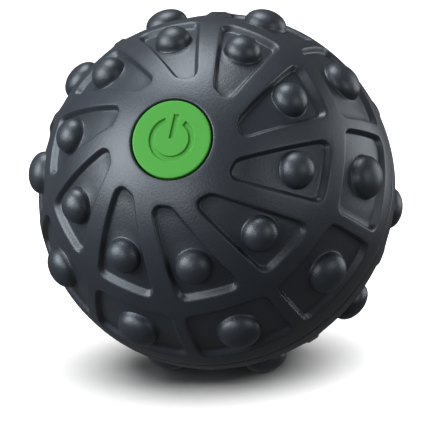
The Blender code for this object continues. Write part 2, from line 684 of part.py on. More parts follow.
def add_upper_half(frame):
    pivot = add_pivot("upper_half_pivot", frame, (0, 0, 0))
    add_piece("upper_cover", finish_mesh(cover_bm(), "upper_cover"), "cover_rubber", pivot)
    add_piece("upper_core", upper_core_mesh(), "core_plastic", pivot)
    add_piece("mid_plate", mid_plate_mesh(), "core_plastic", pivot)
    for number, azimuth in enumerate(SCREW_AZIMUTHS_DEG, 1):
        screw = finish_mesh(screw_bm(azimuth), "plate_screw")
        add_piece(f"plate_screw_{number}", screw, "motor_steel", pivot)
    add_piece("battery_tray", finish_mesh(battery_tray_bm(), "battery_tray"), "tray_plastic", pivot)
    for number, row in enumerate((-1, 0, 1), 1):
        pieces = (("battery_cell", cell_bm, "cell_sleeve"),
                  ("spring_contact", spring_contact_bm, "contact_metal"),
                  ("plate_contact", plate_contact_bm, "contact_metal"))
        for name, make, finish in pieces:
            add_piece(f"{name}_{number}", finish_mesh(make(row), name), finish, pivot)
    add_motor_mount(pivot)
    add_electronics(pivot)


def add_motor_mount(pivot):
    add_piece("motor_can", finish_mesh(motor_can_bm(), "motor_can"), "motor_steel", pivot)
    end_cap = along_y(rod(MOTOR_RADIUS - 0.1 * MM, END_CAP_SPAN, 24), MOTOR_HEIGHT)
    add_piece("motor_end_cap", finish_mesh(end_cap, "motor_end_cap"), "switch_plastic", pivot)
    add_piece("motor_cradle", finish_mesh(motor_cradle_bm(), "motor_cradle"), "tray_plastic", pivot)
    add_piece("motor_strap", finish_mesh(motor_strap_bm(), "motor_strap"), "contact_metal", pivot)


def add_electronics(pivot):
    board = rod(BOARD_RADIUS, BOARD_SPAN, 32)
    add_piece("circuit_board", finish_mesh(board, "circuit_board"), "board_laminate", pivot)
    well_radius, well_floor = SWITCH_WELL
    body = turned([(0, SWITCH_SPAN[0]), (SWITCH_RADIUS, SWITCH_SPAN[0]), (SWITCH_RADIUS, SWITCH_SPAN[1]),
                   (well_radius, SWITCH_SPAN[1]), (well_radius, well_floor), (0, well_floor)], 16, False)
    add_piece("switch_body", finish_mesh(body, "switch_body"), "switch_plastic", pivot)
    leads = (
        ("motor_lead_red", "lead_red", (3, -19.5, 22), (3, -26, 26), (4, -24, 33), (4, -13, 33)),
        ("motor_lead_black", "lead_black", (-3, -19.5, 22), (-3, -26, 26), (-4, -24, 33), (-4, -13, 33)),
        ("battery_lead_red", "lead_red", (20, 10, 3), (24, 10, 14), (20, 8, 28), (13, 8, 33)),
        ("battery_lead_black", "lead_black", (-20, 10, 3), (-24, 10, 14), (-20, 8, 28), (-13, 8, 33)),
    )
    for name, finish, *route in leads:
        add_piece(name, lead_mesh(name, *route), finish, pivot)


def add_motor_rotor(frame):
    pivot = add_pivot("motor_spin_pivot", frame, (0, 0, MOTOR_HEIGHT))
    shaft = along_y(rod(SHAFT_RADIUS, SHAFT_SPAN, 12), MOTOR_HEIGHT)
    add_piece("motor_shaft", finish_mesh(shaft, "motor_shaft"), "motor_steel", pivot)
    rotor = along_y(ring(SHAFT_RADIUS + GAP, ROTOR_RADIUS, ROTOR_SPAN, 20), MOTOR_HEIGHT)
    add_piece("motor_rotor", finish_mesh(rotor, "motor_rotor"), "weight_brass", pivot)
    weight = finish_mesh(eccentric_weight_bm(), "eccentric_weight")
    add_piece("eccentric_weight", weight, "weight_brass", pivot)


def add_button(frame):
    pivot = add_pivot("button_pivot", frame, (0, 0, BUTTON_TOP))
    cap = turned(polar_cap_profile(True), 24, False)
    add_piece("button_cap", finish_mesh(cap, "button_cap"), "button_green", pivot)
    plunger_pivot = add_pivot("plunger_pivot", frame, (0, 0, PLUNGER_SPAN[1]))
    plunger = rod(PLUNGER_RADIUS, PLUNGER_SPAN, 12)
    add_piece("switch_plunger", finish_mesh(plunger, "switch_plunger"), "switch_plastic", plunger_pivot)


def main():
    clear_scene()
    cover_mesh = finish_mesh(mirrored(cover_bm()), "lower_cover")
    frame = resting_frame(cover_mesh)
    add_lower_half(frame, cover_mesh)
    add_seal(frame)
    add_upper_half(frame)
    add_motor_rotor(frame)
    add_button(frame)


main()
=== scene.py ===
import json
import math

import bmesh
import bpy
from bpy.props import FloatProperty, FloatVectorProperty, IntProperty, PointerProperty
from bpy.types import Operator, Panel, PropertyGroup
from mathutils import Matrix, Vector


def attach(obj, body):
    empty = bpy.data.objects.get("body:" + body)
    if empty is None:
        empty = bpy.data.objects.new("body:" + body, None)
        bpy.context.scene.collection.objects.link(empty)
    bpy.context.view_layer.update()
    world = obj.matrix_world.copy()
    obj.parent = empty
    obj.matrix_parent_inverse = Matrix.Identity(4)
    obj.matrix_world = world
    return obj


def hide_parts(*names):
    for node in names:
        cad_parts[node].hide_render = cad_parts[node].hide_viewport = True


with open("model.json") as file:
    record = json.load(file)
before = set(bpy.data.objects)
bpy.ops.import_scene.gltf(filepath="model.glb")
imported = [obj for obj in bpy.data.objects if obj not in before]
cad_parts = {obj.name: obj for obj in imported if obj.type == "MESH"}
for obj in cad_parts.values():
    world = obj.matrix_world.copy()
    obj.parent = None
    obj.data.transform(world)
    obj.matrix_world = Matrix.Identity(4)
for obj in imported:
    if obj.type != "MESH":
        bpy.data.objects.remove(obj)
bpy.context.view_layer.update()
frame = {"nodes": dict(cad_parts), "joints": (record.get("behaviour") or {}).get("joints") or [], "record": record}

bl_info = {
    "name": "Massage ball",
    "version": (1, 0, 0),
    "blender": (4, 5, 0),
    "location": "View3D > Sidebar > Massage ball",
    "description": "Knobbed vibrating massage ball with its finishes, stage and camera",
    "category": "Object",
}

MM = 0.001
SECTORS = 10
SECTOR_DEG = 360.0 / SECTORS

# The skin of a half, as the upper half: polar angles are counted from the button's axis.
MEAN_SKIN_RADIUS = 46.45 * MM
RIM_DEG = 13.35
CELL_TOP_DEG = 16.0
CELL_MIDDLE_DEG = 56.75
CELL_BOTTOM_DEG = 85.0

# The pattern of one sector: azimuths are counted from the inner ring's knob, and a pocket's
# azimuths are those of its top left, top right, bottom right and bottom left corners.
OUTER_KNOB_PHASE_DEG = 18.0
RING_OFFSET_DEG = 7.77
INNER_KNOB_PHASE_DEG = OUTER_KNOB_PHASE_DEG - RING_OFFSET_DEG
# The line between two neighbouring pockets: its azimuths at the top, at the seam between the rings
# and at the bottom, and how strongly its upper part bows.
LEFT_CORNERS_DEG = (-33.75, -13.0, -10.2)
LEFT_LINE_BOW = 0.7
CORNER_RADIUS = 2.7 * MM
INNER_POCKET = {"top": 20.8, "bottom": 54.4, "azimuths": (-28.0, -6.0, 18.2, -9.7),
                "knob_deg": 41.6, "knob_azimuth": 0.0, "knob_radius": 4.86 * MM}
OUTER_POCKET = {"top": 59.5, "bottom": 82.7, "azimuths": (-9.6, 23.0, 24.2, -8.3),
                "knob_deg": 71.4, "knob_azimuth": RING_OFFSET_DEG, "knob_radius": 5.84 * MM}

# A pocket's wall, as (share of its width, share of the pocket's depth): a round shoulder and foot.
WALL_PROFILE = ((0.0, 0.0), (0.08, 0.012), (0.17, 0.05), (0.27, 0.13), (0.42, 0.33), (0.57, 0.56),
                (0.7, 0.77), (0.8, 0.89), (0.9, 0.97), (1.0, 1.0))
# The fillet at a knob's foot, as (distance outside the knob's radius, height above the floor).
FOOT_FILLET = ((0.35 * MM, 0.0), (0.12 * MM, 0.05 * MM), (-0.08 * MM, 0.28 * MM))
DOME_INSET = 0.12 * MM
DOME_FOOT = 0.28 * MM
DOME_SPACING = 0.9

# How finely the covers are modelled.
STEPS_ACROSS = 14
STEPS_DOWN = 18
ARC_STEPS = 12
EDGE_SHARES = (0.35, 0.7)
FLOOR_SHARES = (0.25, 0.5, 0.75)
DOME_STEPS = 9
COVER_STEPS = 24
COVER_MERGE = 0.01 * MM

# The dimensions that the finer pieces share with the CAD model.
HOLE_RADIUS = 10.45 * MM
FLANGE_RADIUS = 11.5 * MM
FLANGE_LOW = 40.1 * MM
FLANGE_HIGH = 40.9 * MM
CAP_WALL = 1.3 * MM
CAP_ROOF = 1.9 * MM
STEM_RADIUS = 2.5 * MM
STEM_END = 38.9 * MM
COVER_INNER_RADIUS = 43.3 * MM
CORE_OUTER_RADIUS = 42.2 * MM
CORE_INNER_RADIUS = 40.2 * MM
CORE_HOLE_RADIUS = 12.3 * MM
LIP_RADIUS = 41.25 * MM
LIP_DEPTH = 3.0 * MM
SOCKET_RADIUS = 40.8 * MM
SOCKET_DEPTH = 8.2 * MM
SEAL_INNER = 40.4 * MM
SEAL_OUTER = 40.95 * MM
SEAL_LOW = -2.6 * MM
SEAL_HIGH = -1.2 * MM

# The plain edges of a cover: the band at the equator, the parting edge, the mouth and its rim.
BAND_DEG = (CELL_BOTTOM_DEG, 86.5, 88.0)
PARTING_TOP_DEG = 88.4
PARTING_CORNERS = ((46.75 * MM, 0.22 * MM), (46.0 * MM, 0.15 * MM), (COVER_INNER_RADIUS, 0.15 * MM))
PARTING_ROUND = 0.5 * MM
INSIDE_END_DEG = 88.0
MOUTH_CORNERS = ((HOLE_RADIUS, 43.0 * MM), (HOLE_RADIUS, 45.15 * MM), (10.78 * MM, 45.52 * MM))
RIM_TOP_DEG = 14.2
CROWN_DEG = (15.0, CELL_TOP_DEG)

# How the turned pieces are spun, and how their corners are rounded.
TURNED_STEPS = 180
BUTTON_STEPS = 300
CORE_END_DEG = 89.5
CORE_OUTSIDE_STEPS = 40
CORE_INSIDE_STEPS = 30
SMALL_ROUND = 0.2 * MM
CAP_ROUND = 0.4 * MM
BUTTON_ROUND = 0.45 * MM
BUTTON_EDGE = 0.55 * MM
EDGE_DROP = 0.05 * MM
FACE_TOLERANCE = 0.001 * MM

# Every piece is welded at this distance, and creased where its faces meet at more than this angle.
MERGE_DISTANCE = 0.002 * MM
SHARP_DEG = 40.0
# A rounded corner takes at most this share of a side.
CORNER_SHARE = 0.45

# The sunk symbol on the button.
SYMBOL_AZIMUTH_DEG = 172.35
SYMBOL_GAP_DEG = 28.0
BAR_MIDDLE = 3.3 * MM
BAR_HALF_LENGTH = 3.1 * MM
STROKE_EDGE = 0.14 * MM

# The camera, and where the ball's axis and low side lie for it.
CAMERA_DISTANCE = 0.8828
CAMERA_LENS = 283.8
CAMERA_SENSOR = 36.0
CAMERA_SHIFT = (-0.0025, -0.0575)
CAMERA_CLIP = 0.05
AXIS_FROM_VIEW_DEG = 21.63
AXIS_HEADING_DEG = 131.17
LOW_SIDE_TURN_DEG = -90.85

# The lights on the ball: name, direction (right, up and towards the camera), distance, size, watts.
SOFTBOXES = (
    ("key_softbox", (-0.84, 0.30, 0.44), 0.8, 0.6, 13.0),
    ("front_softbox", (-0.42, -0.02, 0.90), 1.0, 0.3, 3.0),
    ("fill_softbox", (0.76, 0.12, 0.64), 1.0, 0.5, 2.6),
    ("top_softbox", (-0.20, 0.97, 0.05), 0.9, 0.5, 10.0),
    ("rim_softbox", (0.92, 0.25, -0.38), 0.8, 0.5, 3.0),
)
SOFTBOX_TINT = (0.84, 0.92, 1.0)
# The light on the floor alone, which gives the soft shadow.
WASH_TO_RIGHT = 0.15
WASH_HEIGHT = 1.3
WASH_SIZE = 2.8
WASH_WATTS = 95.0
WASH_TINT = (1.0, 1.0, 1.0)
FLOOR_REACH = 1.0
# The strength of the white world, as light and as what the camera sees behind the floor.
AMBIENT = 0.13
BACKDROP = 1.0

# Slow changes of tone and gloss come in patches of this size, and the fine grain is a bump.
PATCH_MM = 14.0
PATCH_RANGE = (0.3, 0.7)
GRAIN_DETAIL = 3.0
PATCH_DETAIL = 2.0
BUMP_STRENGTH = 0.6


class BallSizes(PropertyGroup):
    """Sizes of the visible ball."""
    knob_tip_radius: FloatProperty(name="Knob tip radius",
                                   description="From the ball's centre to a knob's tip",
                                   default=49.0 * MM, unit="LENGTH")
    skin_radius: FloatProperty(name="Skin radius",
                               description="Middle radius of the skin between the pockets",
                               default=MEAN_SKIN_RADIUS, unit="LENGTH")
    skin_swell: FloatProperty(name="Skin swell",
                              description="How much the skin bulges at its rim and equator",
                              default=0.4 * MM, unit="LENGTH")
    pocket_depth: FloatProperty(name="Pocket depth", description="Depth of a pocket's floor below the skin",
                                default=1.5 * MM, unit="LENGTH")
    wall_width: FloatProperty(name="Wall width", description="Width of a pocket's rounded wall",
                              default=1.1 * MM, unit="LENGTH")
    sloped_wall: FloatProperty(name="Sloped wall",
                               description="Extra width of the wall that faces the button",
                               default=1.2 * MM, unit="LENGTH")
    button_radius: FloatProperty(name="Button radius", description="Radius of the push button",
                                 default=10.07 * MM, unit="LENGTH")
    button_top: FloatProperty(name="Button height",
                              description="Height of the button's face above the centre",
                              default=45.72 * MM, unit="LENGTH")
    symbol_radius: FloatProperty(name="Symbol radius", description="Middle radius of the sunk open ring",
                                 default=5.1 * MM, unit="LENGTH")
    symbol_stroke: FloatProperty(name="Symbol stroke", description="Width of the sunk lines",
                                 default=1.3 * MM, unit="LENGTH")
    symbol_depth: FloatProperty(name="Symbol depth", description="Depth of the sunk lines",
                                default=0.5 * MM, unit="LENGTH")
    button_rings: IntProperty(name="Button rings", description="Rings of points across the button's face",
                              default=90, min=10)


class BallColours(PropertyGroup):
    """Colours of the finishes, as sRGB values."""
    cover: FloatVectorProperty(name="Cover", description="Soft-touch rubber of the two covers",
                               default=(0x1F / 255, 0x22 / 255, 0x27 / 255), subtype="COLOR_GAMMA", size=3)
    button: FloatVectorProperty(name="Button", description="Moulded green of the push button",
                                default=(0x36 / 255, 0x7C / 255, 0x24 / 255), subtype="COLOR_GAMMA", size=3)
    core: FloatVectorProperty(name="Core", description="Rigid plastic of the half shells",
                              default=(0x2C / 255, 0x2E / 255, 0x33 / 255), subtype="COLOR_GAMMA", size=3)
    tray: FloatVectorProperty(name="Tray", description="Plastic of the battery tray and the motor's cradle",
                              default=(0x4A / 255, 0x4C / 255, 0x52 / 255), subtype="COLOR_GAMMA", size=3)


# ---- Frame of the ball ----
def direction(azimuth_deg, polar_deg):
    """Unit vector at an azimuth and at an angle from the button's axis."""
    azimuth, polar = math.radians(azimuth_deg), math.radians(polar_deg)
    across = math.sin(polar)
    return Vector((across * math.cos(azimuth), across * math.sin(azimuth), math.cos(polar)))


def joint(name):
    """The frame's record of a joint."""
    for item in frame["joints"]:
        if item["name"] == name:
            return item
    raise ValueError(f"the frame has no joint named {name}")


def ball_matrix():
    """From the ball's own frame (Z on the button's axis, X to its low side) to the world."""
    twist = joint("half_twist")
    axis = Vector(twist["axis"]).normalized()
    down = Vector((0, 0, -1))
    low_side = (down - axis * down.dot(axis)).normalized()
    turn = Matrix((low_side, axis.cross(low_side), axis)).transposed().to_4x4()
    return Matrix.Translation(twist["pos_m"]) @ turn


def camera_turn():
    """The camera's directions in the world, as the columns of a 3 by 3 matrix."""
    axis = direction(AXIS_HEADING_DEG, AXIS_FROM_VIEW_DEG)
    level = Vector((0, 1, 0)).cross(axis).normalized()
    rise = axis.cross(level)
    turn = math.radians(LOW_SIDE_TURN_DEG)
    low_side = level * math.cos(turn) + rise * math.sin(turn)
    seen = Matrix((low_side, axis.cross(low_side), axis)).transposed()
    return ball_matrix().to_3x3() @ seen.transposed()


# ---- Mesh helpers ----
def polar_of(point):
    """A point's angle from the button's axis."""
    return math.degrees(math.acos(max(-1.0, min(1.0, point.normalized().z))))


def piece_from(bm, name, body, replaced, material, lower=False):
    """Place a piece modelled in the ball's frame, and give it its material and its body.

    A piece of the lower half is modelled as an upper one, and mirrored here.
    """
    if lower:
        bmesh.ops.scale(bm, verts=bm.verts, vec=(1, 1, -1))
    bmesh.ops.transform(bm, matrix=ball_matrix(), verts=bm.verts)
    bmesh.ops.remove_doubles(bm, verts=bm.verts, dist=MERGE_DISTANCE)
    bmesh.ops.recalc_face_normals(bm, faces=bm.faces)
    mesh = bpy.data.meshes.new(name)
    bm.to_mesh(mesh)
    bm.free()
    mesh.shade_smooth()
    mesh.set_sharp_from_angle(angle=math.radians(SHARP_DEG))
    mesh.materials.append(material)
    piece = bpy.data.objects.new(name, mesh)
    bpy.context.scene.collection.objects.link(piece)
    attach(piece, body)
    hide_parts(*replaced)
    return piece


def turned(profile, closed, steps=TURNED_STEPS):
    """Spin a profile of (radius, height) points about Z."""
    bm = bmesh.new()
    verts = [bm.verts.new((radius, 0.0, height)) for radius, height in profile]
    edges = [bm.edges.new(pair) for pair in zip(verts, verts[1:])]
    if closed:
        edges.append(bm.edges.new((verts[-1], verts[0])))
    bmesh.ops.spin(bm, geom=verts + edges, cent=(0, 0, 0), axis=(0, 0, 1),
                   angle=2 * math.pi, steps=steps, use_merge=True)
    return bm


def sphere_profile(radius, start_deg, end_deg, steps):
    """(radius, height) points along a sphere's side."""
    angles = [math.radians(start_deg + (end_deg - start_deg) * i / steps) for i in range(steps + 1)]
    return [(radius * math.sin(a), radius * math.cos(a)) for a in angles]


def rounded(profile, radius, steps=4):
    """Round every corner of an open profile but its two ends."""
    points = [Vector(p) for p in profile]
    result = [tuple(points[0])]
    for before, corner, after in zip(points, points[1:], points[2:]):
        reach = min(radius, (before - corner).length * CORNER_SHARE, (after - corner).length * CORNER_SHARE)
        start = corner + (before - corner).normalized() * reach
        end = corner + (after - corner).normalized() * reach
        for step in range(steps + 1):
            t = step / steps
            result.append(tuple(start * (1 - t) ** 2 + corner * 2 * t * (1 - t) + end * t ** 2))
    return result + [tuple(points[-1])]


# ---- The knobbed covers ----
def skin_radius(sizes, polar_deg):
    """The ball bulges a little at its rim and at its equator."""
    phase = 2 * math.pi * (polar_deg - RIM_DEG) / (90.0 - RIM_DEG)
    return sizes.skin_radius + sizes.skin_swell * math.cos(phase)


def on_skin(sizes, unit, depth=0.0):
    """The point this far below the skin in a direction."""
    return unit.normalized() * (skin_radius(sizes, polar_of(unit)) - depth)


def cell_left_deg(polar_deg):
    """Azimuth of the line halfway between two neighbouring pockets."""
    top, middle, bottom = LEFT_CORNERS_DEG
    if polar_deg > CELL_MIDDLE_DEG:
        share = (polar_deg - CELL_MIDDLE_DEG) / (CELL_BOTTOM_DEG - CELL_MIDDLE_DEG)
        return middle + (bottom - middle) * share
    share = max(0.0, (polar_deg - INNER_POCKET["top"]) / (CELL_MIDDLE_DEG - INNER_POCKET["top"]))
    return top + (middle - top) * (LEFT_LINE_BOW * math.sqrt(share) + (1 - LEFT_LINE_BOW) * share)


def square_walk():
    """Points round a square from -1 to 1, in the order top, right, bottom, left."""
    across = [2 * i / STEPS_ACROSS - 1 for i in range(STEPS_ACROSS)]
    down = [2 * i / STEPS_DOWN - 1 for i in range(STEPS_DOWN)]
    return ([(u, -1.0) for u in across] + [(1.0, v) for v in down]
            + [(-u, 1.0) for u in across] + [(-1.0, -v) for v in down])


def cell_edge(top_deg, bottom_deg):
    """The edge of one sector's cell, as unit vectors."""
    points = []
    for u, v in square_walk():
        polar = top_deg + (v + 1) / 2 * (bottom_deg - top_deg)
        points.append(direction(cell_left_deg(polar) + (u + 1) / 2 * SECTOR_DEG, polar))
    return points


def corner_arc(before, corner, after, radius):
    """The arc that rounds a corner, from the side before it to the side after it."""
    back, ahead = (before - corner).normalized(), (after - corner).normalized()
    half = back.angle(ahead) / 2
    centre = corner + (back + ahead).normalized() * radius / math.sin(half)
    start = corner + back * radius / math.tan(half) - centre
    end = corner + ahead * radius / math.tan(half) - centre
    return [centre + start.lerp(end, i / ARC_STEPS).normalized() * radius for i in range(ARC_STEPS + 1)]


def even_points(path, count):
    """This many points spaced evenly along a path, leaving out its end."""
    lengths = [(b - a).length for a, b in zip(path, path[1:])]
    spacing, points, walked, index = sum(lengths) / count, [], 0.0, 0
    for i in range(count):
        while index < len(lengths) - 1 and walked + lengths[index] < i * spacing:
            walked += lengths[index]
            index += 1
        points.append(path[index].lerp(path[index + 1], (i * spacing - walked) / lengths[index]))
    return points


def pocket_edge(pocket):
    """The pocket's outline, with straight sides and rounded corners, as unit vectors."""
    polars = (pocket["top"], pocket["top"], pocket["bottom"], pocket["bottom"])
    corners = [direction(azimuth, polar) for azimuth, polar in zip(pocket["azimuths"], polars)]
    radius = CORNER_RADIUS / MEAN_SKIN_RADIUS
    arcs = [corner_arc(corners[i - 1], corners[i], corners[(i + 1) % 4], radius) for i in range(4)]
    points = []
    for i, count in enumerate((STEPS_ACROSS, STEPS_DOWN, STEPS_ACROSS, STEPS_DOWN)):
        path = arcs[i][ARC_STEPS // 2:] + arcs[(i + 1) % 4][:ARC_STEPS // 2 + 1]
        points += even_points(path, count)
    return [point.normalized() for point in points]


def relaxed(points):
    """Even out a closed ring of unit vectors."""
    return [(points[i - 1] + point * 2 + points[(i + 1) % len(points)]).normalized()
            for i, point in enumerate(points)]


def inset(sizes, points):
    """Move an outline inwards by the wall's width, which is greatest on the side to the equator."""
    moved = []
    for i, point in enumerate(points):
        tangent = points[(i + 1) % len(points)] - points[i - 1]
        inward = tangent.cross(point).normalized()
        south = direction(math.degrees(math.atan2(point.y, point.x)), polar_of(point) + 90.0)
        slope = max(0.0, -inward.dot(south)) ** 2
        width = sizes.wall_width + sizes.sloped_wall * slope
        moved.append((point + inward * width / sizes.skin_radius).normalized())
    return relaxed(moved)


def mix(a, b, share):
    """The ring this share of the way from one ring of unit vectors to another."""
    return [(p + (q - p) * share).normalized() for p, q in zip(a, b)]


def dome_profile(radius, height):
    """(distance from the knob's axis, height) from the fillet at its foot to near its crown."""
    fillet = [(radius + outside, lift) for outside, lift in FOOT_FILLET]
    dome = []
    for step in range(1, DOME_STEPS + 1):
        rise = math.pi / 2 * (step / (DOME_STEPS + 1)) ** DOME_SPACING
        lift = DOME_FOOT + (height - DOME_FOOT) * math.sin(rise)
        dome.append(((radius - DOME_INSET) * math.cos(rise), lift))
    return fillet + dome


def knob_rings(sizes, pocket, outline):
    """Rings of the dome, matched point by point with the pocket's floor."""
    centre = direction(pocket["knob_azimuth"], pocket["knob_deg"])
    east = Vector((0, 0, 1)).cross(centre).normalized()
    north = centre.cross(east)
    angles = []
    for point in outline:
        angle = math.atan2((point - centre).dot(north), (point - centre).dot(east))
        if angles:
            angle -= 2 * math.pi * round((angle - angles[-1]) / (2 * math.pi))
        angles.append(angle)
    count = len(outline)
    start = sum(angle + 2 * math.pi * i / count for i, angle in enumerate(angles)) / count
    height = sizes.knob_tip_radius - skin_radius(sizes, pocket["knob_deg"]) + sizes.pocket_depth
    rings = []
    for reach, lift in dome_profile(pocket["knob_radius"], height):
        ring = []
        for i in range(count):
            turn = start - 2 * math.pi * i / count
            spread = (east * math.cos(turn) + north * math.sin(turn)) * reach / sizes.skin_radius
            ring.append(((centre + spread).normalized(), sizes.pocket_depth - lift))
        rings.append(ring)
    return rings, centre * sizes.knob_tip_radius


def add_loops(bm, loops):
    """Join rings of points, each ring to the next, and return the last ring."""
    rows = [[bm.verts.new(p) for p in points] for points in loops]
    for outer, inner in zip(rows, rows[1:]):
        for i in range(len(outer)):
            j = (i + 1) % len(outer)
            bm.faces.new((outer[i], outer[j], inner[j], inner[i]))
    return rows[-1]


def add_cell(bm, sizes, top_deg, bottom_deg, pocket):
    """One sector's cell: flat edge, rounded pocket wall, floor, and domed knob with its fillet."""
    edge, outline = cell_edge(top_deg, bottom_deg), pocket_edge(pocket)
    foot = inset(sizes, outline)
    domes, tip = knob_rings(sizes, pocket, foot)
    base = [unit for unit, _ in domes[0]]
    loops = [[on_skin(sizes, p) for p in edge]]
    loops += [[on_skin(sizes, p) for p in mix(edge, outline, share)] for share in EDGE_SHARES]
    for share, sunk in WALL_PROFILE:
        loops.append([on_skin(sizes, p, sizes.pocket_depth * sunk) for p in mix(outline, foot, share)])
    for share in FLOOR_SHARES:
        loops.append([on_skin(sizes, p, sizes.pocket_depth) for p in mix(foot, base, share)])
    loops += [[on_skin(sizes, unit, depth) for unit, depth in ring] for ring in domes]
    last = add_loops(bm, loops)
    crown = bm.verts.new(tip)
    for i, vert in enumerate(last):
        bm.faces.new((vert, last[(i + 1) % len(last)], crown))


def cover_row(radius, height, first_deg):
    """One row of evenly spaced points round the ball, from the azimuth given."""
    points = []
    for i in range(SECTORS * STEPS_ACROSS):
        unit = direction(first_deg + INNER_KNOB_PHASE_DEG + i * SECTOR_DEG / STEPS_ACROSS, 90.0)
        points.append(Vector((unit.x * radius, unit.y * radius, height)))
    return points


def cover_edge_profile(sizes):
    """(radius, height) of the plain rows: those from the equator band to the mouth, then the rim's."""
    def outside(polar_deg):
        """The skin's (radius, height) at an angle from the axis."""
        radius, angle = skin_radius(sizes, polar_deg), math.radians(polar_deg)
        return (radius * math.sin(angle), radius * math.cos(angle))

    mouth_deg = math.degrees(math.asin(HOLE_RADIUS / COVER_INNER_RADIUS))
    band = [outside(polar_deg) for polar_deg in BAND_DEG]
    parting = rounded([outside(PARTING_TOP_DEG), *PARTING_CORNERS], PARTING_ROUND)
    inside = sphere_profile(COVER_INNER_RADIUS, INSIDE_END_DEG, mouth_deg, COVER_STEPS)
    rim = rounded([*MOUTH_CORNERS, outside(RIM_TOP_DEG)], SMALL_ROUND)
    crown = [outside(polar_deg) for polar_deg in CROWN_DEG]
    return band + parting + inside, rim + crown


def cover_bm(sizes):
    """One half's cover, as the upper half, in the ball's frame."""
    bm = bmesh.new()
    add_cell(bm, sizes, CELL_TOP_DEG, CELL_MIDDLE_DEG, INNER_POCKET)
    add_cell(bm, sizes, CELL_MIDDLE_DEG, CELL_BOTTOM_DEG, OUTER_POCKET)
    turn = Matrix.Rotation(math.radians(INNER_KNOB_PHASE_DEG), 3, "Z")
    bmesh.ops.rotate(bm, verts=bm.verts, cent=(0, 0, 0), matrix=turn)
    bmesh.ops.spin(bm, geom=bm.verts[:] + bm.edges[:] + bm.faces[:], cent=(0, 0, 0), axis=(0, 0, 1),
                   angle=math.radians(360.0 - SECTOR_DEG), steps=SECTORS - 1, use_duplicate=True)
    below, above = cover_edge_profile(sizes)
    crown_left, band_left = cell_left_deg(CELL_TOP_DEG), cell_left_deg(CELL_BOTTOM_DEG)
    column = SECTOR_DEG / STEPS_ACROSS
    crown_left += column * round((band_left - crown_left) / column)
    rows = [cover_row(*point, band_left) for point in below]
    rows += [cover_row(*point, crown_left) for point in above]
    add_loops(bm, rows)
    bmesh.ops.remove_doubles(bm, verts=bm.verts, dist=COVER_MERGE)
    return bm


# ---- The button and the cap ----
def stroke_depth(sizes, x, y):
    """Depth of the sunk symbol at a point of the face: an open ring and an upright bar."""
    turn = -math.radians(SYMBOL_AZIMUTH_DEG)
    up = x * math.cos(turn) - y * math.sin(turn)
    side = x * math.sin(turn) + y * math.cos(turn)
    half = sizes.symbol_stroke / 2
    off_up = abs(math.degrees(math.atan2(side, up)))
    ring_end = math.radians(SYMBOL_GAP_DEG - off_up) * sizes.symbol_radius
    to_ring = max(abs(math.hypot(up, side) - sizes.symbol_radius) - half, ring_end)
    to_bar = max(abs(side) - half, abs(up - BAR_MIDDLE) - BAR_HALF_LENGTH)
    reach = min(to_ring, to_bar)
    share = max(0.0, min(1.0, 0.5 - reach / (2 * STROKE_EDGE)))
    return sizes.symbol_depth * share * share * (3 - 2 * share)


def skirt_profile(sizes):
    """(radius, height) of the corners from a cap's edge, over its side and flange, to its hollow."""
    radius, top = sizes.button_radius, sizes.button_top
    hollow = radius - CAP_WALL
    return [(radius, top - EDGE_DROP), (radius, FLANGE_HIGH), (FLANGE_RADIUS, FLANGE_HIGH),
            (FLANGE_RADIUS, FLANGE_LOW), (hollow, FLANGE_LOW), (hollow, top - CAP_ROOF)]


def button_bm(sizes):
    """The green button with its sunk symbol, skirt, flange and stem."""
    face_radius, top = sizes.button_radius - BUTTON_EDGE, sizes.button_top
    face = [(face_radius * i / sizes.button_rings, top) for i in range(sizes.button_rings + 1)]
    stem = [(STEM_RADIUS, top - CAP_ROOF), (STEM_RADIUS, STEM_END), (0.0, STEM_END)]
    side = rounded([(face_radius, top), *skirt_profile(sizes), *stem], BUTTON_ROUND)
    bm = turned(face + side[1:], False, BUTTON_STEPS)
    for vert in bm.verts:
        if vert.co.z > top - FACE_TOLERANCE:
            vert.co.z -= stroke_depth(sizes, vert.co.x, vert.co.y)
    return bm


def bottom_cap_bm(sizes):
    """The plain cap at the lower pole, modelled at the upper pole."""
    top = sizes.button_top
    corners = [(0.5 * sizes.button_radius, top), *skirt_profile(sizes), (0.0, top - CAP_ROOF)]
    return turned([(0.0, top)] + rounded(corners, CAP_ROUND), False)


def lower_core_bm():
    """Rigid lower half shell with its socket, modelled as an upper half."""
    pole_deg = math.degrees(math.asin(CORE_HOLE_RADIUS / CORE_OUTER_RADIUS))
    inner_pole_deg = math.degrees(math.asin(CORE_HOLE_RADIUS / CORE_INNER_RADIUS))
    profile = sphere_profile(CORE_OUTER_RADIUS, pole_deg, CORE_END_DEG, CORE_OUTSIDE_STEPS)
    profile += rounded([profile[-1], (LIP_RADIUS, profile[-1][1]), (LIP_RADIUS, LIP_DEPTH),
                        (SOCKET_RADIUS, LIP_DEPTH), (SOCKET_RADIUS, SOCKET_DEPTH)], SMALL_ROUND)[1:]
    socket_end_deg = math.degrees(math.acos(SOCKET_DEPTH / CORE_INNER_RADIUS))
    profile += sphere_profile(CORE_INNER_RADIUS, socket_end_deg, inner_pole_deg, CORE_INSIDE_STEPS)
    return turned(profile, True)


def seal_bm():
    """The ring seal, with rounded corners."""
    middle = (SEAL_INNER + SEAL_OUTER) / 2
    loop = rounded([(middle, SEAL_LOW), (SEAL_OUTER, SEAL_LOW), (SEAL_OUTER, SEAL_HIGH),
                    (SEAL_INNER, SEAL_HIGH), (SEAL_INNER, SEAL_LOW), (middle, SEAL_LOW)], SMALL_ROUND)
    return turned(loop[:-1], True)


# ---- Finishes ----
def linear(colour):
    """sRGB values to linear ones."""
    return tuple(c / 12.92 if c <= 0.04045 else ((c + 0.055) / 1.055) ** 2.4 for c in colour) + (1.0,)


